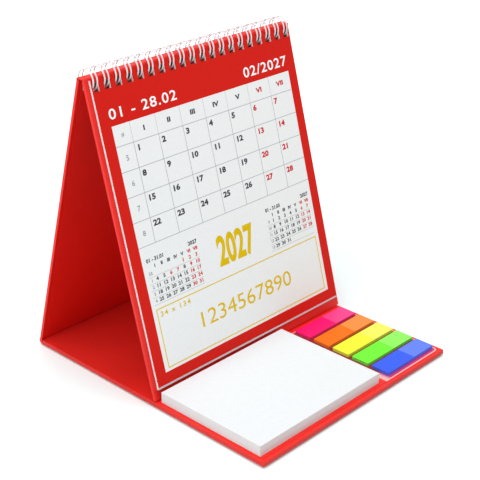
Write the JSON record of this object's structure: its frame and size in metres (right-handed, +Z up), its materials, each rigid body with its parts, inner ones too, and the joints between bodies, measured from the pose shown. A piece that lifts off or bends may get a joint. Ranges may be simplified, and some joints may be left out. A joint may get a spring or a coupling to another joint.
{
  "type": "desk calendar",
  "caption": "Folding board desk calendar stand with wire-bound month leaves, a sticky note block and page flag blocks on its base",
  "frame": {"origin": "centre of the base's footprint, at desk level", "axes": "+X along the ridge, to the right as the reader sees it; +Y from the note block to the back panel; +Z up"},
  "size_m": [0.16, 0.1868, 0.1848],
  "materials": {
    "red_wrap": "red printed paper, matt film laminate",
    "red_liner": "red printed lining paper, smooth",
    "grey_board": "pressed grey board, cut edges",
    "leaf_paper": "white offset paper, printed",
    "note_paper": "white note paper, stacked",
    "white_wire": "white nylon coated steel wire",
    "clear_film": "clear backing film over red paper",
    "flag_pink": "fluorescent film",
    "flag_orange": "fluorescent film",
    "flag_yellow": "fluorescent film",
    "flag_green": "fluorescent film",
    "flag_blue": "fluorescent film"
  },
  "bodies": {
    "base": {"base_wrap": "red_wrap", "base_board": "grey_board", "base_liner": "red_liner", "rear_hinge": "red_wrap", "note_block": "note_paper", "flag_backing": "clear_film", "flag_block_pink": "flag_pink", "flag_block_orange": "flag_orange", "flag_block_yellow": "flag_yellow", "flag_block_green": "flag_green", "flag_block_blue": "flag_blue"},
    "back": {"back_wrap": "red_wrap", "back_board": "grey_board", "back_liner": "red_liner"},
    "front": {"front_wrap": "red_wrap", "front_board": "grey_board", "front_liner": "red_liner", "ridge_hinge": "red_wrap", "wire_binding": "white_wire"},
    "january": {"leaf_january": "leaf_paper"},
    "february": {"leaf_february": "leaf_paper"},
    "march": {"leaf_march": "leaf_paper"},
    "april": {"leaf_april": "leaf_paper"},
    "may": {"leaf_may": "leaf_paper"},
    "june": {"leaf_june": "leaf_paper"},
    "july": {"leaf_july": "leaf_paper"},
    "august": {"leaf_august": "leaf_paper"},
    "september": {"leaf_september": "leaf_paper"},
    "october": {"leaf_october": "leaf_paper"},
    "november": {"leaf_november": "leaf_paper"},
    "december": {"leaf_december": "leaf_paper"},
    "note_sheet": {"note_top_sheet": "note_paper"},
    "pink_flag": {"flag_top_pink": "flag_pink"},
    "orange_flag": {"flag_top_orange": "flag_orange"},
    "yellow_flag": {"flag_top_yellow": "flag_yellow"},
    "green_flag": {"flag_top_green": "flag_green"},
    "blue_flag": {"flag_top_blue": "flag_blue"}
  },
  "joints": [
    {"name": "rear_fold", "type": "hinge", "parent": "base", "child": "back", "pos_m": [0, 0.09313, 0.0008], "axis": [-1, 0, 0], "range_deg": [0, 104], "deforming": ["rear_hinge"]},
    {"name": "ridge_fold", "type": "hinge", "parent": "back", "child": "front", "pos_m": [0, 0.03931, 0.1782], "axis": [1, 0, 0], "range_deg": [0, 31.2], "deforming": ["ridge_hinge"]},
    {"name": "january_turn", "type": "hinge", "parent": "back", "child": "january", "pos_m": [0, 0.03931, 0.1782], "axis": [-1, 0, 0], "range_deg": [-125, 0]},
    {"name": "december_turn", "type": "hinge", "parent": "front", "child": "december", "pos_m": [0, 0.03931, 0.1782], "axis": [-1, 0, 0], "range_deg": [0, 180]},
    {"name": "november_turn", "type": "hinge", "parent": "december", "child": "november", "pos_m": [0, 0.03931, 0.1782], "axis": [-1, 0, 0], "range_deg": [0, 180]},
    {"name": "october_turn", "type": "hinge", "parent": "november", "child": "october", "pos_m": [0, 0.03931, 0.1782], "axis": [-1, 0, 0], "range_deg": [0, 180]},
    {"name": "september_turn", "type": "hinge", "parent": "october", "child": "september", "pos_m": [0, 0.03931, 0.1782], "axis": [-1, 0, 0], "range_deg": [0, 180]},
    {"name": "august_turn", "type": "hinge", "parent": "september", "child": "august", "pos_m": [0, 0.03931, 0.1782], "axis": [-1, 0, 0], "range_deg": [0, 180]},
    {"name": "july_turn", "type": "hinge", "parent": "august", "child": "july", "pos_m": [0, 0.03931, 0.1782], "axis": [-1, 0, 0], "range_deg": [0, 180]},
    {"name": "june_turn", "type": "hinge", "parent": "july", "child": "june", "pos_m": [0, 0.03931, 0.1782], "axis": [-1, 0, 0], "range_deg": [0, 180]},
    {"name": "may_turn", "type": "hinge", "parent": "june", "child": "may", "pos_m": [0, 0.03931, 0.1782], "axis": [-1, 0, 0], "range_deg": [0, 180]},
    {"name": "april_turn", "type": "hinge", "parent": "may", "child": "april", "pos_m": [0, 0.03931, 0.1782], "axis": [-1, 0, 0], "range_deg": [0, 180]},
    {"name": "march_turn", "type": "hinge", "parent": "april", "child": "march", "pos_m": [0, 0.03931, 0.1782], "axis": [-1, 0, 0], "range_deg": [0, 180]},
    {"name": "february_turn", "type": "hinge", "parent": "march", "child": "february", "pos_m": [0, 0.03931, 0.1782], "axis": [-1, 0, 0], "range_deg": [0, 180]},
    {"name": "note_sheet_lift", "type": "hinge", "parent": "base", "child": "note_sheet", "pos_m": [-0.0275, -0.0137, 0.00965], "axis": [-1, 0, 0], "range_deg": [0, 90]},
    {"name": "pink_flag_lift", "type": "hinge", "parent": "base", "child": "pink_flag", "pos_m": [0.07625, -0.02241, 0.00535], "axis": [0, 1, 0], "range_deg": [0, 80]},
    {"name": "orange_flag_lift", "type": "hinge", "parent": "base", "child": "orange_flag", "pos_m": [0.07625, -0.03727, 0.00535], "axis": [0, 1, 0], "range_deg": [0, 80]},
    {"name": "yellow_flag_lift", "type": "hinge", "parent": "base", "child": "yellow_flag", "pos_m": [0.07625, -0.05213, 0.00535], "axis": [0, 1, 0], "range_deg": [0, 80]},
    {"name": "green_flag_lift", "type": "hinge", "parent": "base", "child": "green_flag", "pos_m": [0.07625, -0.06699, 0.00535], "axis": [0, 1, 0], "range_deg": [0, 80]},
    {"name": "blue_flag_lift", "type": "hinge", "parent": "base", "child": "blue_flag", "pos_m": [0.07625, -0.08185, 0.00535], "axis": [0, 1, 0], "range_deg": [0, 80]}
  ],
  "couplings": [
    {"joint": "ridge_fold", "follows": "rear_fold", "ratio": 0.3}
  ]
}
